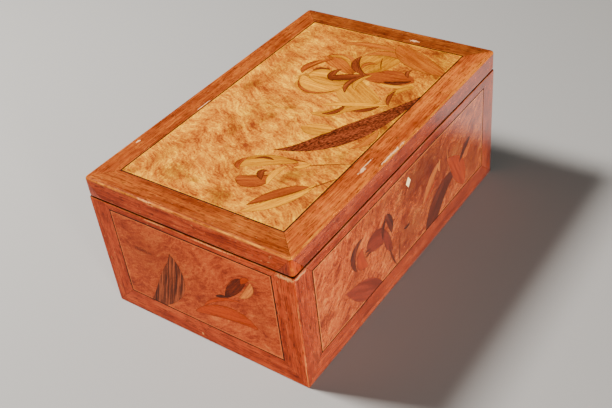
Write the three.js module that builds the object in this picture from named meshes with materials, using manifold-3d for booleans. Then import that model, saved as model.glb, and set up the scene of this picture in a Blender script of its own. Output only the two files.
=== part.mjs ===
// A marquetry box: a mitred carcass with a lift-off lid, faced with mahogany banding
// around panels of burl veneer, with flowers and leaves let into the lid, front and left side.
// Millimetres. X runs along the front, Y from front to back, Z up.
// The origin is the middle of the underside.

import * as THREE from 'three';
import { mergeVertices } from 'three/addons/utils/BufferGeometryUtils.js';
import Module from 'manifold-3d';

const wasm = await Module();
wasm.setup();

// Overall sizes
const boxLength = 300;
const boxDepth = 192;
const bodyHeight = 109;
const lidHeight = 17.9;

// Thickness of the boards and of what is glued to them
const wallThickness = 6;
const bottomThickness = 6;
const lidBoardThickness = 6;
const veneerThickness = 2;

// Widths of the banding around the panels, and of the dark line inside it
const stileWidth = 19.5;
const bottomRailHeight = 19;
const longSideTopStrip = 8;
const shortSideTopStrip = 5.5;
const lidFrameWidth = 19.5;
const stringingWidth = 1;

// The lip on the walls that keeps the lid in place
const lipHeight = 3;
const lipThickness = 2.5;

// Rounded edges
const bodyCornerRadius = 1.4;
const bodyRimRadius = 1.2;
const footRadius = 1;
const lidCornerRadius = 3.5;
const lidTopRadius = 1.8;
const lidLowerRadius = 2.5;

// The bone lozenge in the front panel, and how far its middle is below the rim
const lozengeWidth = 7;
const lozengeHeight = 10;
const lozengeDrop = 21;

// Clearances: between glued pieces, under the resting lid, and around the lip
const seam = 0.1;
const lidRest = 0.1;
const lipClearance = 0.4;

// Fineness of the round edges and of an inlaid leaf's outline
const arcSteps = 2;
const edgeSteps = 4;
const leafSteps = 14;

// Heights and depths that follow from the sizes above
const lidLow = bodyHeight + lidRest;
const lidTop = lidLow + lidHeight;
const lidFaceLow = lidTop - veneerThickness;
const lidBoardTop = lidFaceLow - seam;
const lidBoardLow = lidBoardTop - lidBoardThickness;
const wallOuter = veneerThickness + seam;
const wallInner = wallOuter + wallThickness;
const lipOuter = wallInner - lipThickness;
const beyond = 5;

function finish(color, roughness, metalness = 0) {
  return { color, roughness, metalness };
}

const mahogany = finish(0xa8461f, 0.38);
const lidMahogany = finish(0xbd6436, 0.34);
const cedar = finish(0x9c6a45, 0.7);
const ebonyLine = finish(0x35160c, 0.45);
const lidBurl = finish(0xcf8a52, 0.34);
const sideBurl = finish(0xb4613b, 0.36);
const bone = finish(0xf4e6cd, 0.4);
const rosewood = finish(0x5a2417, 0.36);
const satinwood = finish(0xe2ac62, 0.34);
const padauk = finish(0xc25a2c, 0.36);
const walnut = finish(0x8a3f22, 0.38);

const box = new THREE.Group();

function addPiece(name, solid, look) {
  const { vertProperties, triVerts } = solid.getMesh();
  const geometry = new THREE.BufferGeometry();
  geometry.setAttribute('position', new THREE.BufferAttribute(vertProperties, 3));
  geometry.setIndex(new THREE.BufferAttribute(triVerts, 1));
  const mesh = new THREE.Mesh(geometry, new THREE.MeshStandardMaterial({ ...look, flatShading: true }));
  mesh.name = name;
  box.add(mesh);
}

function solidOf(geometry, matrix) {
  geometry.deleteAttribute('normal');
  geometry.deleteAttribute('uv');
  const merged = mergeVertices(geometry).applyMatrix4(matrix);
  return new wasm.Manifold(new wasm.Mesh({
    numProp: 3,
    vertProperties: new Float32Array(merged.getAttribute('position').array),
    triVerts: new Uint32Array(merged.index.array),
  }));
}

function outlineOf(points) {
  return new THREE.Shape(points.map(([x, y]) => new THREE.Vector2(x, y)));
}

// A prism that stands on its plan outline, between two heights.
function standingPrism(outline, low, high) {
  const geometry = new THREE.ExtrudeGeometry(outline, { depth: high - low, bevelEnabled: false });
  return solidOf(geometry, new THREE.Matrix4().makeTranslation(0, 0, low));
}

// The four sides. Each is drawn as it is seen from outside, x to the right from its middle,
// z up and y inwards from its face. across and place turn it and put it in the box.
const sides = [
  { name: 'front', span: boxLength, topStrip: longSideTopStrip, across: [1, 0], place: [0, -boxDepth / 2] },
  { name: 'right', span: boxDepth, topStrip: shortSideTopStrip, across: [0, 1], place: [boxLength / 2, 0] },
  { name: 'back', span: boxLength, topStrip: longSideTopStrip, across: [-1, 0], place: [0, boxDepth / 2] },
  { name: 'left', span: boxDepth, topStrip: shortSideTopStrip, across: [0, -1], place: [-boxLength / 2, 0] },
];

function sideMatrix({ across: [c, s], place: [x, y] }) {
  return new THREE.Matrix4().set(
    c, -s, 0, x,
    s, c, 0, y,
    0, 0, 1, 0,
    0, 0, 0, 1,
  );
}

// A prism on an elevation outline of one side, from one depth to a greater one.
function facePrism(side, outline, from, to) {
  const geometry = new THREE.ExtrudeGeometry(outline, { depth: to - from, bevelEnabled: false });
  const upright = new THREE.Matrix4().set(
    1, 0, 0, 0,
    0, 0, -1, to,
    0, 1, 0, 0,
    0, 0, 0, 1,
  );
  return solidOf(geometry, sideMatrix(side).multiply(upright));
}

// The plan of one side's layer between two depths, mitred at both ends.
function mitredLayer(side, from, to, low, high, mitreGap = seam) {
  const halfAt = (depth) => side.span / 2 - depth - mitreGap / 2 * Math.SQRT2;
  const plan = outlineOf([
    [-halfAt(from), from],
    [halfAt(from), from],
    [halfAt(to), to],
    [-halfAt(to), to],
  ]);
  const geometry = new THREE.ExtrudeGeometry(plan, { depth: high - low, bevelEnabled: false });
  return solidOf(geometry, sideMatrix(side).multiply(new THREE.Matrix4().makeTranslation(0, 0, low)));
}

function roundedPlan(length, depth, radius) {
  const x = length / 2 - radius;
  const y = depth / 2 - radius;
  const quarter = Math.PI / 2;
  const plan = new THREE.Shape();
  plan.absarc(x, -y, radius, -quarter, 0, false);
  plan.absarc(x, y, radius, 0, quarter, false);
  plan.absarc(-x, y, radius, quarter, 2 * quarter, false);
  plan.absarc(-x, -y, radius, 2 * quarter, 3 * quarter, false);
  return plan;
}

// A block with every edge of one end rounded, and its straight sides running on past the other.
function roundedBlock(low, high, cornerRadius, edgeRadius) {
  const geometry = new THREE.ExtrudeGeometry(roundedPlan(boxLength, boxDepth, cornerRadius), {
    depth: high - low - 2 * edgeRadius,
    bevelThickness: edgeRadius,
    bevelSize: edgeRadius,
    bevelOffset: -edgeRadius,
    bevelSegments: edgeSteps,
    curveSegments: arcSteps,
  });
  return solidOf(geometry, new THREE.Matrix4().makeTranslation(0, 0, low + edgeRadius));
}

function envelope(low, high, cornerRadius, lowRadius, highRadius) {
  const lower = roundedBlock(low, high + lowRadius + beyond, cornerRadius, lowRadius);
  const upper = roundedBlock(low - highRadius - beyond, high, cornerRadius, highRadius);
  return lower.intersect(upper);
}

// A block whose sides stand a given depth in from the faces of the box.
function innerBlock(depth, low, high) {
  const x = boxLength / 2 - depth;
  const y = boxDepth / 2 - depth;
  return standingPrism(rectangle([[-x, -y], [x, y]]), low, high);
}

const bodyEnvelope = envelope(0, bodyHeight, bodyCornerRadius, footRadius, bodyRimRadius);
const lidEnvelope = envelope(lidLow, lidTop, lidCornerRadius, lidLowerRadius, lidTopRadius);

// The walls may also fill the lip's block, and the lid's rails are rebated to drop over it.
const lipHigh = bodyHeight + lipHeight;
const wallEnvelope = bodyEnvelope.add(innerBlock(lipOuter, bodyHeight - beyond, lipHigh));
const railEnvelope = lidEnvelope.subtract(
  innerBlock(lipOuter - lipClearance, lidLow - beyond, lipHigh + lipClearance),
);

// Rectangles, as low and high corners
function inset([[x0, y0], [x1, y1]], gap) {
  return [[x0 + gap, y0 + gap], [x1 - gap, y1 - gap]];
}

function rectangle([[x0, y0], [x1, y1]]) {
  return outlineOf([[x0, y0], [x1, y0], [x1, y1], [x0, y1]]);
}

// The dark line and the panel fill the opening inside a frame, each with its seam.
function lineAndPanel(opening) {
  const lineOuter = inset(opening, seam);
  const lineInner = inset(lineOuter, stringingWidth);
  const line = rectangle(lineOuter);
  line.holes.push(new THREE.Path(rectangle(lineInner).getPoints().reverse()));
  return { line, panel: inset(lineInner, seam) };
}

// A leaf or petal: a bent spine from tip to base, full in the middle and pointed at both ends.
// Its points are shares of its panel's length and height, its width a share of the height.
// fullness under 1 rounds it, and swell over 1 moves its widest place towards the base.
function leafPoints([[x0, y0], [x1, y1]], { tip, bend, base, width, fullness = 0.8, swell = 1 }, grow = 0) {
  const at = ([u, v]) => new THREE.Vector2(x0 + u * (x1 - x0), y0 + v * (y1 - y0));
  const spine = new THREE.QuadraticBezierCurve(at(tip), at(bend), at(base));
  const halfWidth = width * (y1 - y0) / 2;
  const edge = [];
  for (let step = 0; step <= leafSteps; step += 1) {
    const t = step / leafSteps;
    const along = spine.getTangent(t);
    const half = halfWidth * Math.max(Math.sin(Math.PI * t ** swell), 0) ** fullness;
    const ending = step === 0 ? -grow : step === leafSteps ? grow : 0;
    const middle = spine.getPoint(t).addScaledVector(along, 2 * ending);
    const sideways = new THREE.Vector2(-along.y, along.x).multiplyScalar(ending === 0 ? half + grow : 0);
    edge.push([middle, sideways]);
  }
  const inner = edge.slice(1, -1);
  const left = edge.map(([middle, sideways]) => middle.clone().add(sideways));
  const right = inner.map(([middle, sideways]) => middle.clone().sub(sideways)).reverse();
  return [...left, ...right];
}

// Lets each inlay into its panel, the first in the list on top, and gives the panel back with
// the places for them sawn out.
function inlay(panelSolid, panel, pieces, prism) {
  let ground = panelSolid;
  const laid = [];
  for (const piece of pieces) {
    const sawn = prism(new THREE.Shape(leafPoints(panel, piece)));
    let solid = sawn.intersect(panelSolid);
    for (const over of laid) {
      solid = solid.subtract(over);
    }
    addPiece(piece.name, solid, piece.look);
    const place = prism(new THREE.Shape(leafPoints(panel, piece, seam)));
    ground = ground.subtract(place);
    laid.push(place);
  }
  return ground;
}

// What is let into the panels
const inlays = {
  lid: [
    { name: 'lid_dark_leaf', look: rosewood, tip: [0.285, 0.425], bend: [0.35, 0.145], base: [0.755, -0.02],
      width: 0.15, fullness: 1.25, swell: 1.1 },
    { name: 'lid_pale_petal', look: satinwood, tip: [0.66, 0.7], bend: [0.605, 0.52], base: [0.73, 0.45],
      width: 0.2, fullness: 0.5, swell: 0.9 },
    { name: 'lid_orange_petal', look: padauk, tip: [0.805, 0.7], bend: [0.825, 0.56], base: [0.745, 0.455],
      width: 0.15, fullness: 0.5, swell: 0.85 },
    { name: 'lid_side_petal', look: satinwood, tip: [0.915, 0.31], bend: [0.86, 0.42], base: [0.765, 0.43],
      width: 0.22, fullness: 0.5, swell: 0.85 },
    { name: 'lid_lower_petal', look: satinwood, tip: [0.645, 0.17], bend: [0.61, 0.36], base: [0.735, 0.415],
      width: 0.2, fullness: 0.5, swell: 0.85 },
    { name: 'lid_rust_petal', look: walnut, tip: [0.79, 0.1], bend: [0.79, 0.28], base: [0.75, 0.405],
      width: 0.15, fullness: 0.55, swell: 0.9 },
  ],
  front: [
    { name: 'front_orange_blade', look: padauk, tip: [0.745, 0.61], bend: [0.825, 0.42], base: [0.87, 0.03],
      width: 0.24, fullness: 0.7, swell: 1.35 },
    { name: 'front_dark_leaf', look: rosewood, tip: [0.81, 0.35], bend: [0.65, 0.34], base: [0.62, -0.2],
      width: 0.29, fullness: 0.5, swell: 1.3 },
    { name: 'front_red_leaf', look: walnut, tip: [0.13, 0.36], bend: [0.2, 0.2], base: [0.35, -0.1],
      width: 0.24, fullness: 1, swell: 1.3 },
  ],
  left: [
    { name: 'left_dark_leaf', look: rosewood, tip: [0.36, 0.753], bend: [0.425, 0.365], base: [0.08, -0.17],
      width: 0.285, fullness: 1.05, swell: 0.95 },
    { name: 'left_flower_bud', look: rosewood, tip: [0.84, 0.825], bend: [0.765, 0.7], base: [0.69, 0.49],
      width: 0.125, fullness: 0.7, swell: 0.95 },
  ],
};

// The sides of the body
for (const side of sides) {
  const { name, span, topStrip } = side;
  const half = span / 2;
  const stile = half - stileWidth;
  const openLow = bottomRailHeight;
  const openHigh = bodyHeight - topStrip;

  // The upper mitre runs from the lid's top corner, because the box was veneered closed.
  const mitreAt = (height, drop) => half - stileWidth * (lidTop - drop - height) / (lidTop - openHigh);
  side.mitreAt = mitreAt;

  const facing = mitredLayer(side, -beyond, veneerThickness, -beyond, bodyHeight + beyond)
    .intersect(bodyEnvelope);
  const cut = (points) => facePrism(side, outlineOf(points), -beyond, veneerThickness + beyond)
    .intersect(facing);
  const stilePoints = [
    [half, seam],
    [half, bodyHeight],
    [mitreAt(bodyHeight, seam), bodyHeight],
    [stile, openHigh - seam],
    [stile, bottomRailHeight + seam],
  ];
  addPiece(`${name}_right_stile`, cut(stilePoints), mahogany);
  addPiece(`${name}_left_stile`, cut(stilePoints.map(([x, z]) => [-x, z]).reverse()), mahogany);
  addPiece(`${name}_bottom_rail`, cut([
    [-half, 0],
    [half, 0],
    [stile, bottomRailHeight],
    [-stile, bottomRailHeight],
  ]), mahogany);
  addPiece(`${name}_top_rail`, cut([
    [-stile, openHigh],
    [stile, openHigh],
    [mitreAt(bodyHeight, 0), bodyHeight],
    [-mitreAt(bodyHeight, 0), bodyHeight],
  ]), mahogany);

  const { line, panel } = lineAndPanel([[-stile, openLow], [stile, openHigh]]);
  addPiece(`${name}_dark_line`, facePrism(side, line, 0, veneerThickness), ebonyLine);
  const prism = (shape) => facePrism(side, shape, -beyond, veneerThickness + beyond);
  let ground = inlay(facePrism(side, rectangle(panel), 0, veneerThickness), panel, inlays[name] ?? [], prism);
  if (name === 'front') {
    const middle = bodyHeight - lozengeDrop;
    const lozenge = (grow) => prism(outlineOf([
      [0, middle - lozengeHeight / 2 - grow],
      [lozengeWidth / 2 + grow, middle],
      [0, middle + lozengeHeight / 2 + grow],
      [-lozengeWidth / 2 - grow, middle],
    ]));
    addPiece('bone_lozenge', lozenge(0).intersect(ground), bone);
    ground = ground.subtract(lozenge(2 * seam));
  }
  addPiece(`${name}_burl_panel`, ground, sideBurl);

  // The wall behind them, with the lip standing up along its inner edge
  const wall = mitredLayer(side, wallOuter, wallInner, 0, lipHigh).intersect(wallEnvelope);
  addPiece(`${name}_wall`, wall, cedar);
}

// The bottom board, glued between the walls
addPiece('bottom_board', standingPrism(rectangle([
  [-boxLength / 2 + wallInner + seam, -boxDepth / 2 + wallInner + seam],
  [boxLength / 2 - wallInner - seam, boxDepth / 2 - wallInner - seam],
]), 0, bottomThickness), cedar);

// The lid's sides: a rail with a rebate over the lip, and the banding on its face
for (const side of sides) {
  const { name, span, mitreAt } = side;
  const half = span / 2;
  const bandTop = lidFaceLow - seam;
  const layer = mitredLayer(side, -beyond, veneerThickness, lidLow - beyond, bandTop).intersect(lidEnvelope);
  const band = facePrism(side, outlineOf([
    [-mitreAt(lidLow, 0), lidLow],
    [mitreAt(lidLow, 0), lidLow],
    [mitreAt(bandTop, 0), bandTop],
    [-mitreAt(bandTop, 0), bandTop],
  ]), -beyond, veneerThickness);
  addPiece(`lid_${name}_band`, band.intersect(layer), mahogany);

  const cheek = outlineOf([
    [half, lidLow],
    [half, bandTop],
    [mitreAt(bandTop, seam), bandTop],
    [mitreAt(lidLow, seam), lidLow],
  ]);
  const joined = mitredLayer(side, -beyond, veneerThickness, lidLow - beyond, bandTop, -seam / 4)
    .intersect(lidEnvelope);
  side.cheek = facePrism(side, cheek, -beyond, veneerThickness).intersect(joined);
  side.otherCheek = facePrism(side, outlineOf(cheek.getPoints().map(({ x, y }) => [-x, y]).reverse()),
    -beyond, veneerThickness).intersect(joined);

  const rail = mitredLayer(side, wallOuter, wallInner, lidLow, lidBoardLow - seam);
  addPiece(`lid_${name}_rail`, rail.intersect(railEnvelope), cedar);
}

// The ends of the stiles that stayed on the lid when the box was sawn open, one at each corner
sides.forEach((side, index) => {
  const next = sides[(index + 1) % sides.length];
  addPiece(`lid_${side.name}_${next.name}_corner`, side.cheek.add(next.otherCheek), mahogany);
});

// The lid's board, and the mitred frame, dark line and panel glued on it
addPiece('lid_board', standingPrism(roundedPlan(
  boxLength - 2 * wallOuter,
  boxDepth - 2 * wallOuter,
  lidCornerRadius,
), lidBoardLow, lidBoardTop), cedar);

const frameLength = boxLength / 2 - lidFrameWidth;
const frameDepth = boxDepth / 2 - lidFrameWidth;
for (const side of sides) {
  const frame = mitredLayer(side, -beyond, lidFrameWidth, lidFaceLow, lidTop).intersect(lidEnvelope);
  addPiece(`lid_${side.name}_frame`, frame, lidMahogany);
}

const lidFace = lineAndPanel([[-frameLength, -frameDepth], [frameLength, frameDepth]]);
addPiece('lid_dark_line', standingPrism(lidFace.line, lidFaceLow, lidTop), ebonyLine);
const lidPanel = standingPrism(rectangle(lidFace.panel), lidFaceLow, lidTop);
const throughLid = (shape) => standingPrism(shape, lidFaceLow - beyond, lidTop + beyond);
addPiece('lid_burl_panel', inlay(lidPanel, lidFace.panel, inlays.lid, throughLid), lidBurl);

export default box;
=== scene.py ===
import math

import bmesh
import bpy
from mathutils import Matrix, Vector


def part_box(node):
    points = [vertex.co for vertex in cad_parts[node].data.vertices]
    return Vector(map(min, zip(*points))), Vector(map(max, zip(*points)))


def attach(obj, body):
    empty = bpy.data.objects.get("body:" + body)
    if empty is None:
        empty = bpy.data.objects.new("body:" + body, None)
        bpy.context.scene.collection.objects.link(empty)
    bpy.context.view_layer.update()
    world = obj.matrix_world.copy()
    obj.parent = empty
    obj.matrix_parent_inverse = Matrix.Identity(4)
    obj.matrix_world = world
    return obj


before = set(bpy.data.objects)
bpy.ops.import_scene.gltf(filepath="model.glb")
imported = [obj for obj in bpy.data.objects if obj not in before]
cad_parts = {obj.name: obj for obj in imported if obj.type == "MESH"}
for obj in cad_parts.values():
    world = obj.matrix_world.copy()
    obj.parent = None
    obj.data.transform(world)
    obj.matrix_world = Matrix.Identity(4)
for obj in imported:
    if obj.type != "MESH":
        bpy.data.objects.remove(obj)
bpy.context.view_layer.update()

# The view
# The box is seen from above its left front corner, by a camera that leans a little to one side.
lens_pixels = 894.9
image_width = 612
sensor_width = 36.0
camera_place = (-0.4765, -0.3781, 0.5085)
camera_heading = math.radians(51.02)
camera_dip = math.radians(38.10)
camera_lean = math.radians(-6.98)

camera_data = bpy.data.cameras.new("camera")
camera_data.sensor_width = sensor_width
camera_data.lens = lens_pixels / image_width * sensor_width
camera = bpy.data.objects.new("camera", camera_data)
bpy.context.scene.collection.objects.link(camera)
camera.matrix_world = (
    Matrix.Translation(camera_place)
    @ Matrix.Rotation(-camera_heading, 4, "Z")
    @ Matrix.Rotation(math.pi / 2 - camera_dip, 4, "X")
    @ Matrix.Rotation(camera_lean, 4, "Z")
)
bpy.context.scene.camera = camera

# The floor
# A plain pale studio floor, which is no part of the box.
# It is wide enough to fill every view.
floor_side = 6.0
floor_colour = (0.31, 0.302, 0.29, 1)
floor_roughness = 0.9
floor_mesh = bmesh.new()
bmesh.ops.create_grid(floor_mesh, x_segments=1, y_segments=1, size=floor_side / 2)
floor_data = bpy.data.meshes.new("floor")
floor_mesh.to_mesh(floor_data)
floor_mesh.free()
floor = bpy.data.objects.new("floor", floor_data)
bpy.context.scene.collection.objects.link(floor)
floor_paint = bpy.data.materials.new("floor_paint")
floor_paint.use_nodes = True
floor_shader = floor_paint.node_tree.nodes["Principled BSDF"]
floor_shader.inputs["Base Color"].default_value = floor_colour
floor_shader.inputs["Roughness"].default_value = floor_roughness
floor_data.materials.append(floor_paint)

# The light
# A soft window-like lamp high behind the box and a low one before its near corner, in a dim room.
# The first lights the lid and the floor that the front mirrors, the second the two near sides.
lamps = {
    "back_lamp": {"place": (-0.36, 1.02, 1.4), "side": 0.36, "power": 90, "colour": (1.0, 0.97, 0.93)},
    "front_lamp": {"place": (-0.9, -1.6, 0.14), "side": 0.26, "power": 86, "colour": (1.0, 0.96, 0.9)},
}
lamp_aim = Vector((0, 0, 0.06))
room_colour = (0.93, 0.96, 1.0, 1)
room_brightness = 0.05
for lamp_name, lamp in lamps.items():
    lamp_data = bpy.data.lights.new(lamp_name, "AREA")
    lamp_data.size = lamp["side"]
    lamp_data.energy = lamp["power"]
    lamp_data.color = lamp["colour"]
    lamp_object = bpy.data.objects.new(lamp_name, lamp_data)
    lamp_object.location = lamp["place"]
    lamp_object.rotation_euler = (lamp_aim - Vector(lamp["place"])).to_track_quat("-Z", "Y").to_euler()
    bpy.context.scene.collection.objects.link(lamp_object)
world = bpy.data.worlds.new("room")
world.use_nodes = True
room_light = world.node_tree.nodes["Background"]
room_light.inputs["Color"].default_value = room_colour
room_light.inputs["Strength"].default_value = room_brightness
bpy.context.scene.world = world


# The carcass
# Four mitred walls with a lip round the rim, a bottom board, and the lid's board and rails, of
# plain straight-grained cedar. They are glued, left unpolished, and seen only when it is open.
def object_place(tree):
    return tree.nodes.new("ShaderNodeTexCoord").outputs["Object"]


def measured(tree, vector, size, place=(0, 0, 0), turn=(0, 0, 0)):
    """The vector as it is seen from a place, along turned axes and in units of size."""
    mapping = tree.nodes.new("ShaderNodeMapping")
    mapping.vector_type = "TEXTURE"
    mapping.inputs["Location"].default_value = place
    mapping.inputs["Rotation"].default_value = turn
    mapping.inputs["Scale"].default_value = size
    tree.links.new(vector, mapping.inputs["Vector"])
    return mapping.outputs["Vector"]


def grain(tree, mark, place=(0, 0, 0), turn=(0, 0, 0)):
    """Coordinates in which one unit is a mark's length along the grain and its width across it."""
    length, width = mark
    return measured(tree, object_place(tree), (length, width, width), place, turn)


def noise(tree, vector, detail=3.0, roughness=0.55):
    made = tree.nodes.new("ShaderNodeTexNoise")
    made.inputs["Scale"].default_value = 1.0
    made.inputs["Detail"].default_value = detail
    made.inputs["Roughness"].default_value = roughness
    tree.links.new(vector, made.inputs["Vector"])
    return made.outputs["Fac"]


def maths(tree, operation, first, second=0.0, clamp=False):
    made = tree.nodes.new("ShaderNodeMath")
    made.operation = operation
    made.use_clamp = clamp
    for socket, value in zip(made.inputs, (first, second)):
        if isinstance(value, (int, float)):
            socket.default_value = value
        else:
            tree.links.new(value, socket)
    return made.outputs["Value"]


def summed(tree, weighted):
    """The sum of some values, each times its weight."""
    total = 0.0
    for value, weight in weighted:
        total = maths(tree, "ADD", total, maths(tree, "MULTIPLY", value, weight))
    return total


def between(tree, value, low, high, out_low=0.0, out_high=1.0):
    """value as it goes from low to high, spread smoothly from out_low to out_high."""
    made = tree.nodes.new("ShaderNodeMapRange")
    made.interpolation_type = "SMOOTHSTEP"
    for name, number in (("From Min", low), ("From Max", high), ("To Min", out_low), ("To Max", out_high)):
        made.inputs[name].default_value = number
    tree.links.new(value, made.inputs["Value"])
    return made.outputs["Result"]


def colours(tree, value, stops):
    """The colour that belongs to value, between stops of a value and a colour each."""
    made = tree.nodes.new("ShaderNodeValToRGB")
    ramp = made.color_ramp
    while len(ramp.elements) < len(stops):
        ramp.elements.new(0.5)
    for element, (position, colour) in zip(ramp.elements, stops):
        element.position = position
        element.color = (*colour, 1)
    tree.links.new(value, made.inputs["Fac"])
    return made.outputs["Color"]


coat_roughness = 0.12


def surface(name, shine=0.3):
    """A material whose gloss is worn at a low shine, and a whole glassy coat of polish at 1."""
    made = bpy.data.materials.new(name)
    made.use_nodes = True
    shader = made.node_tree.nodes["Principled BSDF"]
    shader.inputs["Specular IOR Level"].default_value = shine
    shader.inputs["Coat Weight"].default_value = max(0.0, 2 * shine - 1)
    shader.inputs["Coat Roughness"].default_value = coat_roughness
    return made, made.node_tree, shader


def roughen(tree, shader, height, strength, depth):
    """Small bumps that follow height, as open pores make, up to depth in metres."""
    bump = tree.nodes.new("ShaderNodeBump")
    bump.inputs["Strength"].default_value = strength
    bump.inputs["Distance"].default_value = depth
    tree.links.new(height, bump.inputs["Height"])
    tree.links.new(bump.outputs["Normal"], shader.inputs["Normal"])


def sawn_from(seed, steps):
    """Where in the wood a piece is sawn, so that no two pieces show the same grain."""
    return tuple(seed * step for step in steps)


def dress(node, material):
    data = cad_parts[node].data
    data.materials.clear()
    data.materials.append(material)


grain_turns = {"x": (0, 0, 0), "y": (0, 0, math.pi / 2), "z": (0, -math.pi / 2, 0)}
pore_depth = 0.0002
cedar_marks = {"bands": (0.25, 0.009), "fibres": (0.03, 0.0006)}
cedar_steps = (0.37, 0.21, 0.13)
cedar_tones = ((0.3, (0.22, 0.075, 0.03)), (0.5, (0.38, 0.15, 0.06)), (0.7, (0.52, 0.24, 0.11)))
cedar_roughness = (0.62, 0.78)


def cedar(name, direction, seed):
    made, tree, shader = surface(name)
    place = sawn_from(seed, cedar_steps)
    bands = noise(tree, grain(tree, cedar_marks["bands"], place, grain_turns[direction]), 4)
    fibres = noise(tree, grain(tree, cedar_marks["fibres"], place, grain_turns[direction]), 3)
    tone = summed(tree, ((bands, 0.7), (fibres, 0.3)))
    tree.links.new(colours(tree, tone, cedar_tones), shader.inputs["Base Color"])
    roughness = between(tree, fibres, 0.3, 0.7, *cedar_roughness)
    tree.links.new(roughness, shader.inputs["Roughness"])
    roughen(tree, shader, fibres, 0.4, pore_depth)
    return made


board_grain = {
    "front_wall": "x", "back_wall": "x", "left_wall": "y", "right_wall": "y",
    "bottom_board": "x",
    "lid_front_rail": "x", "lid_back_rail": "x", "lid_left_rail": "y", "lid_right_rail": "y",
    "lid_board": "x",
}
for seed, (board, direction) in enumerate(board_grain.items()):
    dress(board, cedar(f"cedar_{board}", direction, seed))


# The banding
# Thick mahogany veneer, about 20 mm wide, glued round each panel and mitred at the corners, with
# upright grain on the stiles and level grain on the rails. Polished, and worn pale on its edges.
side_levels = {"front": "x", "right": "y", "back": "x", "left": "y"}
box_reach = {
    "x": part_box("right_burl_panel")[1].x,
    "y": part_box("back_burl_panel")[1].y,
    "z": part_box("lid_burl_panel")[1].z,
}
stile_width = box_reach["x"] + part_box("front_left_stile")[1].x
bottom_rail_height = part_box("front_bottom_rail")[1].z
top_band_height = {
    "x": box_reach["z"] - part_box("front_top_rail")[0].z,
    "y": box_reach["z"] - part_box("left_top_rail")[0].z,
}
saw_cut_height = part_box("lid_front_band")[0].z
saw_cut_edges = (0.0003, 0.001)
hairline_edges = (0.00006, 0.00028)
worn_wood = (0.50, 0.20, 0.060)
bare_wood = (0.72, 0.40, 0.19)
joint_dirt = (0.03, 0.008, 0.004)
saw_cut_grime_and_shade = (0.012, 0.004, 0.002)
ragged_marks = (0.004, 0.0012)
wear_marks = (0.02, 0.02)
worn_roughness = 0.3
mahogany_steps = (0.43, 0.29, 0.17)
mahogany_marks = {
    "figure": (0.07, 0.008), "streaks": (0.03, 0.0011), "ripple": (0.01, 0.02),
    "pores": (0.006, 0.0007), "stains": (0.02, 0.008), "nicks": (0.004, 0.0012),
}


def blended(tree, amount, first, second):
    """The first colour with the second laid over it by amount."""
    made = tree.nodes.new("ShaderNodeMix")
    made.data_type = "RGBA"
    for socket, value in ((made.inputs[0], amount), (made.inputs[6], first), (made.inputs[7], second)):
        if isinstance(value, (int, float)):
            socket.default_value = value
        elif isinstance(value, tuple):
            socket.default_value = (*value, 1)
        else:
            tree.links.new(value, socket)
    return made.outputs[2]


def shaded(colour, depth):
    return tuple(part * depth for part in colour)


def unsigned(tree, vector):
    """The x, y and z of a vector, each without its sign."""
    size = tree.nodes.new("ShaderNodeVectorMath")
    size.operation = "ABSOLUTE"
    tree.links.new(vector, size.inputs[0])
    parts = tree.nodes.new("ShaderNodeSeparateXYZ")
    tree.links.new(size.outputs["Vector"], parts.inputs[0])
    return parts.outputs


def rounded_edge(tree):
    """1 where a face leans, as on the box's rounded edges, and 0 on its flat sides."""
    x, y, z = unsigned(tree, tree.nodes.new("ShaderNodeNewGeometry").outputs["True Normal"])
    most = maths(tree, "MAXIMUM", maths(tree, "MAXIMUM", x, y), z)
    return between(tree, maths(tree, "SUBTRACT", 1.0, most), 0.01, 0.16)


def distance_from(tree, centre, half_size):
    """How far a point is from a spot given in millimetres, where 1 is the spot's ragged edge."""
    spot = measured(tree, object_place(tree), shaded(half_size, 1 / 1000), shaded(centre, 1 / 1000))
    length = tree.nodes.new("ShaderNodeVectorMath")
    length.operation = "LENGTH"
    tree.links.new(spot, length.inputs[0])
    ragged = noise(tree, grain(tree, ragged_marks), 4, 0.7)
    return maths(tree, "ADD", length.outputs["Value"], between(tree, ragged, 0.25, 0.75, -0.7, 0.7))


def joint_lines(tree, along, across, run=1.0, rise=1.0):
    """A dark hairline where two strips meet in a mitre that starts from the box's outer corner."""
    places = dict(zip("xyz", unsigned(tree, object_place(tree))))
    first = maths(tree, "DIVIDE", maths(tree, "SUBTRACT", box_reach[along], places[along]), run)
    if across == "floor":
        second = maths(tree, "DIVIDE", places["z"], rise)
    else:
        second = maths(tree, "DIVIDE", maths(tree, "SUBTRACT", box_reach[across], places[across]), rise)
    apart = maths(tree, "ABSOLUTE", maths(tree, "SUBTRACT", first, second))
    dark, clear = shaded(hairline_edges, 1 / run)
    return between(tree, apart, dark, clear, 0.75, 0.0)


def roughness_of_polish(tree, value, unpolished, gain, shine):
    """A roughness that drops as shine goes up, and that varies a little with value."""
    middle = unpolished - gain * shine
    return between(tree, value, 0.3, 0.7, middle - 0.05, middle + 0.05)


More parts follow.
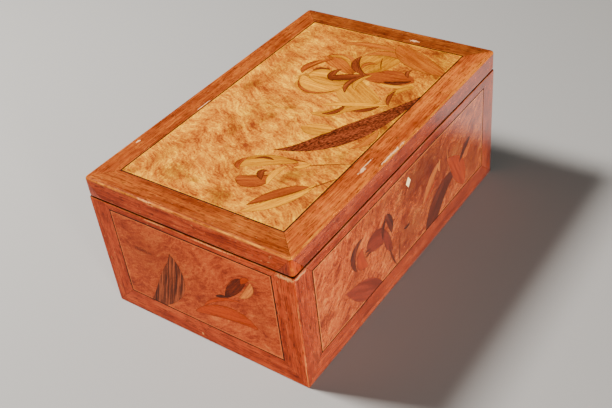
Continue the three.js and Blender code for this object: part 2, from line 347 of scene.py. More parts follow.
def mahogany(
    name, direction, tones, seed, shine, joints=(), scuffs=(), scuff_colour=worn_wood,
    edge=worn_wood, edge_strength=0.65,
):
    """Straight-grained wood with pores; scuffs are middles and half sizes in millimetres."""
    made, tree, shader = surface(name, shine)
    place = sawn_from(seed, mahogany_steps)
    lie = {kind: grain(tree, mark, place, grain_turns[direction]) for kind, mark in mahogany_marks.items()}
    figure = noise(tree, lie["figure"], 3)
    streaks = noise(tree, lie["streaks"], 4, 0.65)
    ripple = noise(tree, lie["ripple"], 3)
    pores = noise(tree, lie["pores"], 2)
    stains = noise(tree, lie["stains"], 5, 0.7)
    nicks = noise(tree, lie["nicks"], 2, 0.6)
    tone = summed(tree, ((figure, 0.38), (streaks, 0.42), (ripple, 0.2)))
    dark, middle, light = tones
    wood = colours(tree, tone, ((0.4, dark), (0.5, middle), (0.6, light)))
    wood = blended(tree, between(tree, pores, 0.55, 0.64, 0.0, 0.75), wood, shaded(dark, 0.35))
    wood = blended(tree, between(tree, stains, 0.54, 0.72, 0.0, 0.6), wood, shaded(dark, 0.6))
    wood = blended(tree, between(tree, nicks, 0.68, 0.74, 0.0, 0.6), wood, worn_wood)
    rounded = rounded_edge(tree)
    patches = noise(tree, grain(tree, wear_marks, place), 4, 0.7)
    patches = between(tree, patches, 0.38, 0.68, 0.0, edge_strength)
    edge_wear_and_highlight = maths(tree, "MULTIPLY", rounded, patches, clamp=True)
    # On the lid this edge colour is golden: partly wear, partly a painted highlight on the rounded edges.
    wood = blended(tree, edge_wear_and_highlight, wood, edge)
    for centre, half_size in scuffs:
        scuff = between(tree, distance_from(tree, centre, half_size), 0.75, 1.15, 0.9, 0.0)
        wood = blended(tree, scuff, wood, scuff_colour)
        edge_wear_and_highlight = maths(tree, "MAXIMUM", edge_wear_and_highlight, scuff)
    for joint in joints:
        wood = blended(tree, joint_lines(tree, *joint), wood, joint_dirt)
    # Grime and painted shade darken the saw cut between lid and body, where the groove lies in shade.
    height = unsigned(tree, object_place(tree))[2]
    apart = maths(tree, "ABSOLUTE", maths(tree, "SUBTRACT", height, saw_cut_height))
    wood = blended(tree, between(tree, apart, *saw_cut_edges, 0.9, 0.0), wood, saw_cut_grime_and_shade)
    tree.links.new(wood, shader.inputs["Base Color"])
    gloss = roughness_of_polish(tree, streaks, 0.34, 0.16, shine)
    gloss = maths(tree, "ADD", gloss, maths(tree, "MULTIPLY", edge_wear_and_highlight, worn_roughness))
    tree.links.new(gloss, shader.inputs["Roughness"])
    for socket in ("Specular IOR Level", "Coat Weight"):
        polish = between(tree, rounded, 0.0, 1.0, shader.inputs[socket].default_value, 0.0)
        tree.links.new(polish, shader.inputs[socket])
    roughen(tree, shader, maths(tree, "SUBTRACT", streaks, pores), 0.2, pore_depth)
    return made


side_tones = ((0.160, 0.014, 0.0024), (0.310, 0.034, 0.0062), (0.43, 0.066, 0.014))
side_depth = {"front": 0.88, "right": 1, "back": 1, "left": 0.91}
side_shine = {"front": 1.0, "right": 0.4, "back": 0.3, "left": 0.05}
side_scuffs = {
    "left_bottom_rail": [((-150, 4.6, 5.7), (1, 0.9, 1.1))],
    "left_right_stile": [((-150, -88, 106.5), (1, 7, 1.6))],
    "left_top_rail": [((-150, -24, 107.8), (1, 20, 0.5)), ((-150, 30, 107.8), (1, 10, 0.4))],
    "front_left_stile": [((-143, -96, 106.8), (6, 1, 1.2))],
}
for side, level in side_levels.items():
    strips = {"left_stile": "z", "right_stile": "z", "bottom_rail": level, "top_rail": level}
    joints = (
        (level, "floor", stile_width, bottom_rail_height),
        (level, "z", stile_width, top_band_height[level]),
    )
    for strip, direction in strips.items():
        node = f"{side}_{strip}"
        seed = len(bpy.data.materials)
        scuffs = side_scuffs.get(node, ())
        tones = [shaded(tone, side_depth[side]) for tone in side_tones]
        finish = mahogany(
            f"mahogany_{node}", direction, tones, seed, side_shine[side], joints=joints, scuffs=scuffs
        )
        dress(node, finish)


# The stringing
# A single line of blackened veneer about 1 mm wide, glued in between the banding and each panel
# and levelled with both.
line_marks = (0.006, 0.006)
line_place = (0.1, 0.2, 0.3)


def blackened(name, shine, tones):
    made, tree, shader = surface(name, shine)
    spots = noise(tree, grain(tree, line_marks, line_place), 4, 0.6)
    tree.links.new(colours(tree, spots, list(zip((0.35, 0.6, 0.8), tones))), shader.inputs["Base Color"])
    tree.links.new(between(tree, spots, 0.3, 0.7, 0.35, 0.5), shader.inputs["Roughness"])
    roughen(tree, shader, spots, 0.2, pore_depth)
    return made


line_tones = ((0.010, 0.0025, 0.0015), (0.024, 0.0050, 0.0026), (0.080, 0.018, 0.0065))
line_shine = {"front": 0.2, "right": 0.3, "back": 0.3, "left": 0.05, "lid": 0.1}
line_depth = {"front": 0.8, "right": 1, "back": 1, "left": 1, "lid": 1.8}
for side, shine in line_shine.items():
    tones = [shaded(tone, line_depth[side]) for tone in line_tones]
    dress(f"{side}_dark_line", blackened(f"blackened_{side}_line", shine, tones))


# The burl panels
# Burl veneer fills each frame, red-brown on the sides and golden on the lid, with slanting streaks,
# brown clouds and fine specks. It is glued to the walls and the lid's board and polished over.
burl_steps = (0.41, 0.23, 0.31)
burl_marks = {"bends": (0.05, 0.05), "knots": (0.03, 0.03), "specks": (0.0016, 0.0016)}
mottle_in_bends = (0.65, 0.35)
flames_in_bends = (0.28, 0.08)
fibres_in_bends = (0.12, 0.028)
bend_scale = 0.9
bend_strength = 0.7
ripple_depth = 0.0003
# Where the pale painted highlight inside the dark line starts and ends, in metres beyond the panel's edge.
painted_highlight_edges = (-0.0010, -0.0005)
painted_highlight_strength = {"front": 0.6, "back": 0.15, "left": 0.6, "right": 0.15, "lid": 0.15}


def panel_border(tree, face):
    """How far a point is beyond the nearest edge of a panel, in metres, so below 0 within it."""
    low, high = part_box(f"{face}_burl_panel")
    middle = (low + high) / 2
    half = (high - low) / 2
    thin = half[:].index(min(half))
    edges = []
    for axis, place in enumerate(unsigned(tree, object_place(tree))):
        if axis != thin:
            from_middle = maths(tree, "ABSOLUTE", maths(tree, "SUBTRACT", place, middle[axis]))
            edges.append(maths(tree, "SUBTRACT", from_middle, half[axis]))
    return maths(tree, "MAXIMUM", *edges)


def burl(face, tones, flow, seed, shine, contrast=1.0, clouds=()):
    """clouds are brown patches: middles and half sizes in millimetres, and strengths."""
    made, tree, shader = surface(f"burl_{face}", shine)
    place = sawn_from(seed, burl_steps)
    plain = grain(tree, burl_marks["bends"], place)
    warp = tree.nodes.new("ShaderNodeTexNoise")
    warp.inputs["Scale"].default_value = bend_scale
    warp.inputs["Detail"].default_value = 3.0
    tree.links.new(plain, warp.inputs["Vector"])
    bent = tree.nodes.new("ShaderNodeVectorMath")
    bent.operation = "MULTIPLY_ADD"
    bent.inputs[1].default_value = (bend_strength, bend_strength, bend_strength)
    tree.links.new(warp.outputs["Color"], bent.inputs[0])
    tree.links.new(plain, bent.inputs[2])

    def drawn_out(mark, detail, roughness):
        length, width = mark
        stretched = measured(tree, bent.outputs["Vector"], (length, width, width), turn=flow)
        return noise(tree, stretched, detail, roughness)

    mottle = drawn_out(mottle_in_bends, 4, 0.65)
    flames = drawn_out(flames_in_bends, 4, 0.6)
    fibres = drawn_out(fibres_in_bends, 4, 0.62)
    specks = noise(tree, grain(tree, burl_marks["specks"], place), 4, 0.75)
    knots = noise(tree, grain(tree, burl_marks["knots"], place), 5, 0.65)
    tone = summed(tree, ((mottle, 0.29), (flames, 0.24), (fibres, 0.24), (specks, 0.23)))
    wood = colours(tree, tone, tones)
    burl_stain_and_shade = between(tree, knots, 0.53, 0.72, 0.0, 0.75 * contrast)
    # The clouds are brown figure in the burl; on the front they are partly a painted dark reflection.
    for centre, half_size, strength in clouds:
        cloud = between(tree, distance_from(tree, centre, half_size), 0.3, 1.3, strength, 0.0)
        burl_stain_and_shade = maths(tree, "MAXIMUM", burl_stain_and_shade, cloud)
    darkest = tones[0][1]
    lightest = tones[-1][1]
    wood = blended(tree, burl_stain_and_shade, wood, shaded(darkest, 0.7))
    # A pale painted highlight runs along the panel's edge, just inside the dark line, where the edge catches
    # light.
    painted_highlight_line = between(tree, panel_border(tree, face), *painted_highlight_edges, 0.0, painted_highlight_strength[face])
    wood = blended(tree, painted_highlight_line, wood, shaded(lightest, 1.2))
    tree.links.new(wood, shader.inputs["Base Color"])
    tree.links.new(roughness_of_polish(tree, flames, 0.36, 0.18, shine), shader.inputs["Roughness"])
    roughen(tree, shader, maths(tree, "ADD", flames, fibres), 0.12, ripple_depth)
    return made


red_burl = (
    (0.41, (0.145, 0.016, 0.0040)),
    (0.47, (0.280, 0.039, 0.0075)),
    (0.53, (0.400, 0.074, 0.014)),
    (0.60, (0.510, 0.140, 0.030)),
)
golden_burl = (
    (0.41, (0.200, 0.035, 0.0070)),
    (0.47, (0.400, 0.106, 0.0080)),
    (0.53, (0.580, 0.218, 0.0090)),
    (0.60, (0.920, 0.450, 0.0100)),
)
panel_clouds = {
    # On the front the clouds are partly the burl's own brown and partly a painted dark reflection of the
    # shaded floor.
    "front": [
        ((22, -96, 84), (48, 9, 24), 0.75), ((70, -96, 66), (34, 9, 16), 0.5),
        ((-40, -96, 92), (40, 9, 8), 0.4), ((40, -96, 46), (60, 9, 16), 0.35),
        ((110, -96, 40), (16, 9, 16), 0.45), ((0, -96, 42), (34, 9, 20), 0.5),
    ],
    "left": [
        ((-150, 51, 73), (9, 11, 3), 0.9), ((-150, 53, 83), (9, 14, 9), 0.35),
        ((-150, 50, 61), (9, 4, 3), 0.35), ((-150, -60, 50), (9, 12, 26), 0.25),
        ((-150, 38, 70), (9, 46, 34), 0.35),
    ],
    "lid": [
        ((-112, 38, 127), (13, 13, 9), 0.6), ((-14, 33, 127), (26, 12, 9), 0.3),
        ((-100, 60, 127), (26, 9, 9), 0.35), ((120, 30, 127), (9, 40, 9), 0.35),
        ((50, 55, 127), (36, 9, 9), 0.3), ((-85, -5, 127), (17, 17, 9), 0.25),
        ((40, -62, 127), (34, 12, 9), 0.4), ((104, -66, 127), (22, 12, 9), 0.45),
        ((100, 66, 127), (30, 9, 9), 0.35), ((95, -8, 127), (38, 44, 9), 0.3),
    ],
}
flows = {
    "front": (0, math.radians(-40), 0), "back": (0, math.radians(-35), 0),
    "left": (0, math.radians(-30), math.radians(-90)), "right": (0, math.radians(-40), math.radians(-90)),
    "lid": (0, 0, math.radians(65)),
}
burl_depths = {
    "front": (0.72, 0.9, 1.1, 1.25), "back": (1.07, 1.07, 1.07, 1.07),
    "left": (0.77, 0.77, 0.77, 0.77), "right": (1.07, 1.07, 1.07, 1.07),
}
burl_seeds = {"front": 3, "back": 4, "left": 5, "right": 6, "lid": 11}
lid_burl_shine = 0.05
for side, depths in burl_depths.items():
    tones = [
        (stop, (red * (1 + depth) / 2, green * depth, blue * depth))
        for depth, (stop, (red, green, blue)) in zip(depths, red_burl)
    ]
    clouds = panel_clouds.get(side, ())
    finish = burl(side, tones, flows[side], burl_seeds[side], side_shine[side], 0.7, clouds)
    dress(f"{side}_burl_panel", finish)
finish = burl("lid", golden_burl, flows["lid"], burl_seeds["lid"], lid_burl_shine, clouds=panel_clouds["lid"])
dress("lid_burl_panel", finish)


# The bone lozenge
# A small lozenge of white bone, glued into the front panel at lock height and polished level
# with it.
bone_marks = (0.004, 0.0004)
bone_tones = ((0.35, (0.86, 0.62, 0.28)), (0.6, (0.95, 0.74, 0.40)))


def bone(name):
    made, tree, shader = surface(name, shine=0.5)
    lines = noise(tree, grain(tree, bone_marks, turn=grain_turns["z"]), 2)
    tree.links.new(colours(tree, lines, bone_tones), shader.inputs["Base Color"])
    tree.links.new(between(tree, lines, 0.3, 0.7, 0.3, 0.4), shader.inputs["Roughness"])
    return made


dress("bone_lozenge", bone("polished_bone"))


# The lid's sides
# Mahogany bands like those below, one glued on each side. The ends of the upright stiles stayed
# at the corners when the closed box was sawn into body and lid.
# The lid's rounded edges are painted golden: partly wear, partly a painted highlight where light catches
# them.
golden_wear_and_highlight = (0.52, 0.185, 0.018)
golden_wear_and_highlight_strength = 0.9
band_depth = 0.82
lid_scuffs = {
    "lid_left_band": [((-150, 28, 125), (1.5, 4, 0.7))],
    "lid_front_band": [((-16, -96, 125.9), (17, 1.5, 0.8))],
}
corner_shine = {"front_right": 0.8, "right_back": 0.35, "back_left": 0.2, "left_front": 0.1}
tones = [shaded(tone, band_depth) for tone in side_tones]
for side, level in side_levels.items():
    node = f"lid_{side}_band"
    joints = ((level, "z", stile_width, top_band_height[level]),)
    seed = len(bpy.data.materials)
    scuffs = lid_scuffs.get(node, ())
    finish = mahogany(
        f"mahogany_{node}", level, tones, seed, side_shine[side], joints=joints, scuffs=scuffs,
        edge=golden_wear_and_highlight, edge_strength=golden_wear_and_highlight_strength,
    )
    dress(node, finish)
for corner, shine in corner_shine.items():
    seed = len(bpy.data.materials)
    finish = mahogany(f"mahogany_lid_{corner}", "z", tones, seed, shine, edge=golden_wear_and_highlight)
    dress(f"lid_{corner}_corner", finish)


# The lid's frame
# Four mitred strips of a lighter, more orange mahogany, glued round the top of the lid. Their polish
# is worn and bruised by use.
frame_tones = ((0.160, 0.021, 0.0035), (0.295, 0.057, 0.0080), (0.455, 0.118, 0.014))
# Each strip's tones are scaled apart; the lighter front strip and darker right strip are partly painted light
# and shade across the lid.
frame_light_and_shade = {"front": 1.25, "right": 0.66, "back": 0.93, "left": 0.86}
frame_shine = 0.12
frame_scuff_colours = {"front": bare_wood, "right": bare_wood, "back": bare_wood, "left": worn_wood}
frame_scuffs = {
    "front": [
        ((-48, -86, 127), (4, 1.2, 1)), ((-40, -85, 127), (8, 0.5, 1)),
        ((-18, -94.6, 127), (15, 0.8, 2)),
    ],
    "right": [((136, -26, 127), (1.4, 4, 1))],
    "back": [((-95, 91, 127), (2, 1, 1)), ((-30, 77.6, 127), (7, 0.4, 1))],
    "left": [((-149.4, 34, 127), (0.5, 9, 1.5))],
}
for side, level in side_levels.items():
    node = f"lid_{side}_frame"
    seed = len(bpy.data.materials)
    tones = [shaded(tone, frame_light_and_shade[side]) for tone in frame_tones]
    finish = mahogany(
        f"mahogany_{node}", level, tones, seed, frame_shine, joints=(("x", "y"),),
        scuffs=frame_scuffs[side], scuff_colour=frame_scuff_colours[side],
        edge=golden_wear_and_highlight, edge_strength=golden_wear_and_highlight_strength,
    )
    dress(node, finish)


# The woods of the pictures
# Rosewood, walnut, plumwood, bloodwood, purpleheart, padauk, cherry, pearwood, satinwood and maple,
# sawn to the outlines with straight grain along each petal or leaf, glued in and levelled.
inlay_marks = {"bands": (0.05, 0.005), "lines": (0.03, 0.0012), "specks": (0.0026, 0.0009)}
plain_figure = {"stripes": 0.4, "speckle": 0.25}
scorch_strength = 0.85
burnt_depth = 0.3


def inlay_wood(name, tones, sheet, shine, stripes, speckle, burns=()):
    """sheet gives the coordinates in the veneer, in metres, with the grain along the first of them."""
    made, tree, shader = surface(name, shine)

    def marks(kind, detail, roughness=0.55):
        length, width = inlay_marks[kind]
        return noise(tree, measured(tree, sheet(tree), (length, width, width)), detail, roughness)

    bands = marks("bands", 3)
    lines = marks("lines", 3, 0.6)
    specks = marks("specks", 2)
    tone = summed(tree, ((bands, 1 - stripes - speckle), (lines, stripes), (specks, speckle)))
    dark, middle, light = tones
    wood = colours(tree, tone, ((0.4, dark), (0.5, middle), (0.6, light)))
    burnt_wood = shaded(dark, burnt_depth)
    for layer_name in ("scorch", "glue_line"):
        reading = tree.nodes.new("ShaderNodeAttribute")
        reading.attribute_name = layer_name
        amount = maths(tree, "MULTIPLY", reading.outputs["Fac"], scorch_strength)
        wood = blended(tree, amount, wood, burnt_wood)
    for centre, half_size, strength in burns:
        burn = between(tree, distance_from(tree, centre, half_size), 0.0, 1.5, strength, 0.0)
        wood = blended(tree, burn, wood, burnt_wood)
    tree.links.new(wood, shader.inputs["Base Color"])
    tree.links.new(between(tree, lines, 0.3, 0.7, 0.28, 0.4), shader.inputs["Roughness"])
    roughen(tree, shader, lines, 0.2, pore_depth)
    return made


woods = {
    "rosewood": ((0.028, 0.005, 0.002), (0.105, 0.017, 0.004), (0.260, 0.052, 0.016)),
    "walnut": ((0.076, 0.013, 0.003), (0.154, 0.027, 0.006), (0.255, 0.055, 0.010)),
    "plumwood": ((0.140, 0.022, 0.004), (0.238, 0.041, 0.006), (0.345, 0.077, 0.009)),
    "bloodwood": ((0.090, 0.009, 0.003), (0.170, 0.017, 0.004), (0.250, 0.030, 0.008)),
    "purpleheart": ((0.034, 0.004, 0.001), (0.076, 0.008, 0.001), (0.150, 0.019, 0.003)),
    "padauk": ((0.200, 0.016, 0.001), (0.290, 0.027, 0.001), (0.380, 0.046, 0.003)),
    "cherry": ((0.220, 0.042, 0.005), (0.345, 0.078, 0.007), (0.460, 0.135, 0.010)),
    "pearwood": ((0.280, 0.048, 0.007), (0.400, 0.095, 0.014), (0.540, 0.165, 0.024)),
    "satinwood": ((0.300, 0.085, 0.002), (0.460, 0.165, 0.003), (0.620, 0.260, 0.004)),
    "maple": ((0.390, 0.130, 0.002), (0.620, 0.235, 0.003), (0.820, 0.360, 0.004)),
}
cad_inlays = {
    "lid_dark_leaf": ("rosewood", "lid", -32), "lid_pale_petal": ("satinwood", "lid", 120),
    "lid_orange_petal": ("cherry", "lid", 60), "lid_side_petal": ("satinwood", "lid", -15),
    "lid_lower_petal": ("satinwood", "lid", 240), "lid_rust_petal": ("plumwood", "lid", -80),
    "front_orange_blade": ("padauk", "front", -65), "front_dark_leaf": ("purpleheart", "front", 40),
    "front_red_leaf": ("bloodwood", "front", -35), "left_dark_leaf": ("rosewood", "left", 74),
    "left_flower_bud": ("purpleheart", "left", 50),
}


def laid(face, degrees, place):
    """Veneer coordinates with the grain at an angle to a face's level line, seen from outside."""
    angle = math.radians(degrees)
    turn = (0, 0, angle) if face == "lid" else (0, -angle, -math.pi / 2 if face == "left" else 0)
    return lambda tree: grain(tree, (1, 1), place, turn)


picture_shine = {"lid": 0.1, "front": side_shine["front"], "left": side_shine["left"]}
figures = {
    "lid_dark_leaf": {"stripes": 0.15, "speckle": 0.6},
    "left_dark_leaf": {"stripes": 0.65, "speckle": 0.1},
}
sand_burns = {
    "lid_pale_petal": [((58, -14, 127), (9, 12, 9), 0.5)],
    "lid_orange_petal": [((66, -12, 127), (12, 12, 9), 0.5), ((84, 26, 127), (6, 6, 9), 0.4)],
    "lid_side_petal": [((72, -22, 127), (16, 7, 9), 0.5), ((103, -18, 127), (6, 12, 9), 0.4)],
    "lid_lower_petal": [((38, -52, 127), (12, 5, 9), 0.4), ((60, -28, 127), (6, 12, 9), 0.35)],
    "lid_rust_petal": [((62, -44, 127), (4, 14, 9), 0.55)],
    "left_flower_bud": [((-150, -29, 61), (9, 6, 9), 0.7)],
}
inlay_steps = (0.19, 0.37, 0.27)
first_inlay_seed = 5
for seed, (node, (species, face, degrees)) in enumerate(cad_inlays.items(), first_inlay_seed):
    sheet = laid(face, degrees, sawn_from(seed, inlay_steps))
    figure = figures.get(node, plain_figure)
    burns = sand_burns.get(node, ())
    finish = inlay_wood(
        f"{species}_{node}", woods[species], sheet, picture_shine[face], **figure, burns=burns
    )
    dress(node, finish)


# The smaller pieces of the lid's picture
# Petals, leaves and stems of thin veneer, sawn with a fine blade, shaded brown along one edge in
# hot sand where the picture wants depth, and let into the burl so that the pieces meet closely.
saw_cells_along = 26
saw_cells_across = 8
glue_width = 0.0006
widest_glue_share = 0.4
scorch_gain = 1.3
rim_shade = 0.25
sawn_thickness = 0.0005
layer_step = 0.00001
sheet_steps = (0.137, 0.071)
merge_distance = 1e-6
laid_pieces = {"lid": [], "front": [], "left": []}


def panel_sheet(face, right, up):
    """A panel's lower left corner seen from outside, the ways of its edges, and its size."""
    right = Vector(right)
    up = Vector(up)
    out = right.cross(up)
    ahead = out - right - up
    low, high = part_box(f"{face}_burl_panel")
    corner = Vector([high[axis] if ahead[axis] > 0 else low[axis] for axis in range(3)])
    span = high - low
    size = (abs(span.dot(right)), abs(span.dot(up)))
    return {"corner": corner, "right": right, "up": up, "out": out, "size": size}


panels = {
    "lid": panel_sheet("lid", right=(1, 0, 0), up=(0, 1, 0)),
    "front": panel_sheet("front", right=(1, 0, 0), up=(0, 0, 1)),
    "left": panel_sheet("left", right=(0, -1, 0), up=(0, 0, 1)),
}


def sheet_of_piece(tree):
    return tree.nodes.new("ShaderNodeUVMap").outputs["UV"]


def sawn(name, face, species, tip, bend, base, width, full=0.7, swell=1.0, scorch=0.0):
    """One sawn piece, in millimetres from the panel's lower left corner as seen from outside.

    A lower full makes it blunter, and a lower swell moves its widest place towards the tip. Scorch
    is how dark one edge is burnt: the left one on the way from tip to base, or the right one below 0.
    """
    tip, bend, base = (Vector((*point, 0)) / 1000 for point in (tip, bend, base))
    shape = bmesh.new()
    veneer = shape.loops.layers.uv.new("veneer")
    glue = shape.verts.layers.float.new("glue_line")
    burnt = shape.verts.layers.float.new("scorch")
    bmesh.ops.create_grid(shape, x_segments=saw_cells_along, y_segments=saw_cells_across, size=1)
    for vertex in shape.verts:
        along = (vertex.co.x + 1) / 2
        across = vertex.co.y
        on_side = abs(across) > 0.99
        half = width / 1000 / 2 * math.sin(math.pi * along ** swell) ** full if 0 < along < 1 else 0
        inner = 1 - min(widest_glue_share, glue_width / half) if half > 1e-9 else 0
        spread = math.copysign(1, across) if on_side else across / (1 - 2 / saw_cells_across) * inner
        flow = 2 * (1 - along) * (bend - tip) + 2 * along * (base - bend)
        spine = (1 - along) ** 2 * tip + 2 * along * (1 - along) * bend + along ** 2 * base
        vertex.co = spine + half * spread * Vector((-flow.y, flow.x, 0)).normalized()
        vertex[glue] = 1.0 if on_side or along < 0.01 or along > 0.99 else 0.0
        sand_side = max(0.0, math.copysign(1, scorch) * spread) ** 1.5
        sand_shade = min(1.0, scorch_gain * abs(scorch)) * sand_side
        vertex[burnt] = max(sand_shade, rim_shade * abs(spread) ** 3)
    panel = panels[face]
    far_corner = (*panel["size"], 0)
    cuts = (
        ((0, 0, 0), (-1, 0, 0)), ((0, 0, 0), (0, -1, 0)),
        (far_corner, (1, 0, 0)), (far_corner, (0, 1, 0)),
    )
    for point, outwards in cuts:
        parts = shape.verts[:] + shape.edges[:] + shape.faces[:]
        bmesh.ops.bisect_plane(shape, geom=parts, plane_co=point, plane_no=outwards, clear_outer=True)
    bmesh.ops.remove_doubles(shape, verts=shape.verts[:], dist=merge_distance)
    shape.normal_update()
    bmesh.ops.reverse_faces(shape, faces=[part for part in shape.faces if part.normal.z < 0])
    bmesh.ops.solidify(shape, geom=shape.faces[:], thickness=sawn_thickness)
    bmesh.ops.recalc_face_normals(shape, faces=shape.faces[:])
    left, right, bottom, top = (
        pick(vertex.co[axis] for vertex in shape.verts) for axis in (0, 1) for pick in (min, max)
    )
    below = [
        other["layer"] for other in laid_pieces[face]
        if other["left"] < right and left < other["right"] and other["bottom"] < top and bottom < other["top"]
    ]
    layer = 1 + max(below, default=0)
    laid_pieces[face].append({"left": left, "right": right, "bottom": bottom, "top": top, "layer": layer})
    grain_way = (base - tip).normalized()
    shift = Vector([(len(bpy.data.meshes) * step) % 1.0 for step in sheet_steps])
    for part in shape.faces:
        for loop in part.loops:
            spot = loop.vert.co
            across_grain = spot.y * grain_way.x - spot.x * grain_way.y
            loop[veneer].uv = shift + Vector((spot.dot(grain_way), across_grain))
    placing = Matrix((panel["right"], panel["up"], panel["out"])).transposed().to_4x4()
    placing.translation = panel["corner"] + panel["out"] * layer * layer_step
    bmesh.ops.transform(shape, matrix=placing, verts=shape.verts[:])
    data = bpy.data.meshes.new(name)
    shape.to_mesh(data)
    shape.free()
    piece = bpy.data.objects.new(name, data)
    bpy.context.scene.collection.objects.link(piece)
    finish = f"sawn_{species}_{face}"
    if finish not in bpy.data.materials:
        inlay_wood(finish, woods[species], sheet_of_piece, picture_shine[face], **plain_figure)
    data.materials.append(bpy.data.materials[finish])
    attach(piece, "root")


sawn("lid_back_lobe", "lid", "plumwood", (168, 105), (147, 89), (165, 67), 8, scorch=0.3)
sawn("lid_long_petal", "lid", "maple", (175, 106), (153, 88), (173, 64), 15, full=0.6, scorch=-0.15)
sawn("lid_inner_lobe", "lid", "satinwood", (178, 102), (171, 84), (179, 64), 11, full=0.6, scorch=0.4)
sawn("lid_round_lobe", "lid", "maple", (176, 101), (192, 92), (180, 78), 13, full=0.5, scorch=0.45)
sawn("lid_petal_shadow", "lid", "walnut", (184, 102), (193, 101), (192, 89), 3)
sawn("lid_curled_petal", "lid", "plumwood", (177, 108), (190, 117), (208, 97), 8, scorch=-0.4)
sawn("lid_petal_curl", "lid", "cherry", (187, 109), (196, 108), (207, 101), 3.5)
sawn("lid_petal_edge", "lid", "satinwood", (211, 103), (221, 88), (203, 76), 5, scorch=-0.4)
sawn("lid_heart_flake", "lid", "walnut", (177, 77), (185, 89), (197, 81), 7, scorch=0.4)
sawn("lid_heart_stem", "lid", "walnut", (180, 84), (186, 70), (199, 54), 10, swell=0.75, scorch=-0.5)
sawn("lid_petal_roll", "lid", "satinwood", (173, 53), (186, 64), (199, 52), 6, scorch=0.4)
sawn("lid_left_crescent", "lid", "walnut", (166, 58), (180, 70), (199, 55), 5.5, scorch=-0.5)
sawn("lid_right_crescent", "lid", "walnut", (223, 77), (203, 80), (196, 55), 7.5, scorch=0.5)
sawn("lid_petal_fold", "lid", "cherry", (224, 76), (245, 60), (230, 39), 9, scorch=-0.4)
sawn("lid_petal_vein", "lid", "walnut", (210, 50), (218, 56), (228, 59), 1)
sawn("lid_petal_crease", "lid", "cherry", (204, 66), (217, 70), (216, 58), 5, scorch=0.4)
sawn("lid_under_shadow", "lid", "rosewood", (194, 39), (195, 26), (205, 18), 5)
sawn("lid_pale_sliver", "lid", "maple", (191, 40), (187, 27), (200, 12), 5)
sawn("lid_lower_flap", "lid", "satinwood", (175, 23), (187, 24), (198, 11), 6, scorch=0.4)
sawn("lid_lower_tip", "lid", "walnut", (164, 16), (173, 24), (187, 22), 4)
sawn("lid_small_tip", "lid", "walnut", (208, 22), (214, 31), (221, 26), 4)
sawn("lid_outer_tip", "lid", "walnut", (234, 46), (235, 36), (225, 37), 4)
sawn("lid_tall_blade", "lid", "cherry", (235, 105), (248, 79), (242, 47), 8)
sawn("lid_corner_leaf", "lid", "cherry", (253, 58), (233, 36), (224, -4), 22, full=0.6)
sawn("lid_cup_leaf", "lid", "satinwood", (129, 67), (130, 47), (157, 41), 9, scorch=0.4)
sawn("lid_cup_shadow", "lid", "walnut", (132, 58), (135, 46), (151, 48), 5, scorch=0.5)
sawn("lid_middle_leaf", "lid", "satinwood", (139, 46), (153, 40), (163, 17), 8)
sawn("lid_slender_leaf", "lid", "maple", (142, 65), (152, 52), (165, 15), 6)
sawn("lid_middle_shadow", "lid", "walnut", (145, 39), (149, 28), (161, 22), 5, scorch=0.5)
sawn("lid_bud_left", "lid", "satinwood", (110, 62), (103, 49), (115, 37), 9, scorch=-0.3)
sawn("lid_bud_right", "lid", "maple", (110, 61), (119, 47), (117, 37), 7)
sawn("lid_ground_leaf", "lid", "cherry", (101, 12), (114, 0), (132, 6), 7)
sawn("lid_red_bud", "lid", "plumwood", (35, 67), (28, 51), (47, 44), 15, full=0.5, scorch=0.4)
sawn("lid_red_bud_side", "lid", "walnut", (39, 48), (47, 58), (50, 51), 6, scorch=0.4)
sawn("lid_pink_leaf", "lid", "satinwood", (44, 74), (60, 71), (69, 36), 14, scorch=0.4)
sawn("lid_leaf_tip", "lid", "plumwood", (42, 71), (46, 80), (57, 74), 5)
sawn("lid_leaf_spot", "lid", "walnut", (58, 69), (65, 63), (63, 54), 3)
sawn("lid_yellow_patch", "lid", "maple", (36, 41), (49, 48), (62, 41), 6)
sawn("lid_yellow_leaf", "lid", "maple", (3, 40), (21, 19), (53, 9), 10, scorch=0.2)
sawn("lid_brown_leaf", "lid", "plumwood", (10.5, 40), (37, 27), (48, 12), 10, scorch=-0.4)
sawn("lid_long_stem", "lid", "walnut", (61, 37), (73, 23), (86, -2), 1.2)
sawn("lid_short_stem", "lid", "walnut", (69, 47), (71, 39), (72, 30), 1.5)
sawn("lid_low_stem", "lid", "walnut", (45, 12), (55, 6), (66, -1), 1.2)
sawn("lid_pale_patch", "lid", "maple", (62, 36), (66, 29), (72, 27), 5)


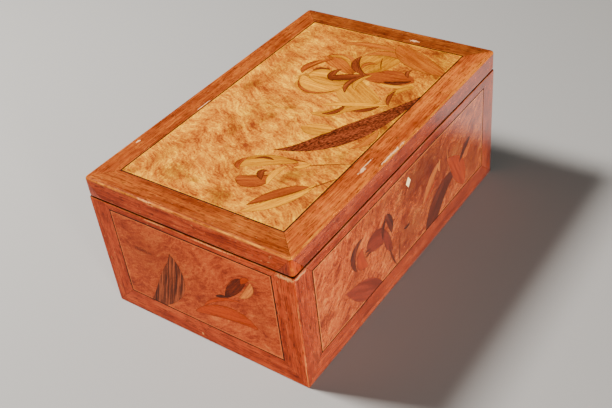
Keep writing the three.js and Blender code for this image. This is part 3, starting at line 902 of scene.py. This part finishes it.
# The smaller pieces of the front picture
# More petals, dark bud leaves and thin stems in red and brown woods, sawn from veneer and glued
# into the burl like those of the lid.
sawn("front_dark_crescent", "front", "purpleheart", (63, 62), (40, 60), (51, 37), 7)
sawn("front_red_petal", "front", "bloodwood", (67, 45), (78, 52), (93, 38), 18, full=0.38, scorch=0.4)
sawn("front_orange_petal", "front", "padauk", (62, 53), (50, 43), (67, 31), 11, scorch=-0.3)
sawn("front_upper_finger", "front", "purpleheart", (63, 46), (67, 46), (72, 44), 2)
sawn("front_lower_finger", "front", "purpleheart", (64, 41), (68, 42), (72, 41), 2)
sawn("front_bud_leaf", "front", "purpleheart", (94, 60), (102, 52), (102, 37), 8)
sawn("front_bud_side", "front", "purpleheart", (95, 58), (88, 52), (89, 39), 4)
sawn("front_inner_petal", "front", "bloodwood", (94, 45), (93, 34), (102, 19), 9, scorch=0.5)
sawn("front_long_stem", "front", "purpleheart", (97, 30), (99, 14), (108, -1), 2)
sawn("front_short_stem", "front", "purpleheart", (113, 26), (113, 12), (111, -1), 1.4)
sawn("front_tan_petal", "front", "pearwood", (179, 55), (164, 47), (151, 27), 10, scorch=0.3)
sawn("front_pale_tip", "front", "pearwood", (181, 57), (177, 51), (180, 45), 4)
sawn("front_under_petal", "front", "padauk", (174, 40), (163, 35), (151, 27), 4)
sawn("front_small_mark", "front", "purpleheart", (120, 28), (125, 25), (130, 27), 3)
sawn("front_far_stem", "front", "purpleheart", (235, 46), (225, 44), (215, 31), 7)
sawn("front_pale_line", "front", "pearwood", (194, 62), (192, 52), (196, 44), 1)
sawn("front_low_blade", "front", "bloodwood", (130, 9), (128, 6), (126, -1), 2)


# The smaller pieces of the left picture
# The pale half and red tip of the bud, its thin curved stalk and one faint broad leaf, sawn from
# veneer and glued into the burl.
sawn("left_bud_half", "left", "pearwood", (131, 67), (132, 57), (117, 46), 7)
sawn("left_bud_tip", "left", "padauk", (131, 69), (125, 69), (122, 62), 5)
sawn("left_small_leaf", "left", "rosewood", (94, 37), (99, 40), (106, 42), 3)
sawn("left_stalk", "left", "padauk", (78, 18), (92, 38), (118, 42), 3.5)
sawn("left_broad_leaf", "left", "padauk", (131, 20), (108, 33), (68, 9), 14)
sawn("left_tip_mark", "left", "pearwood", (138, 70), (133, 70), (129, 68), 1)
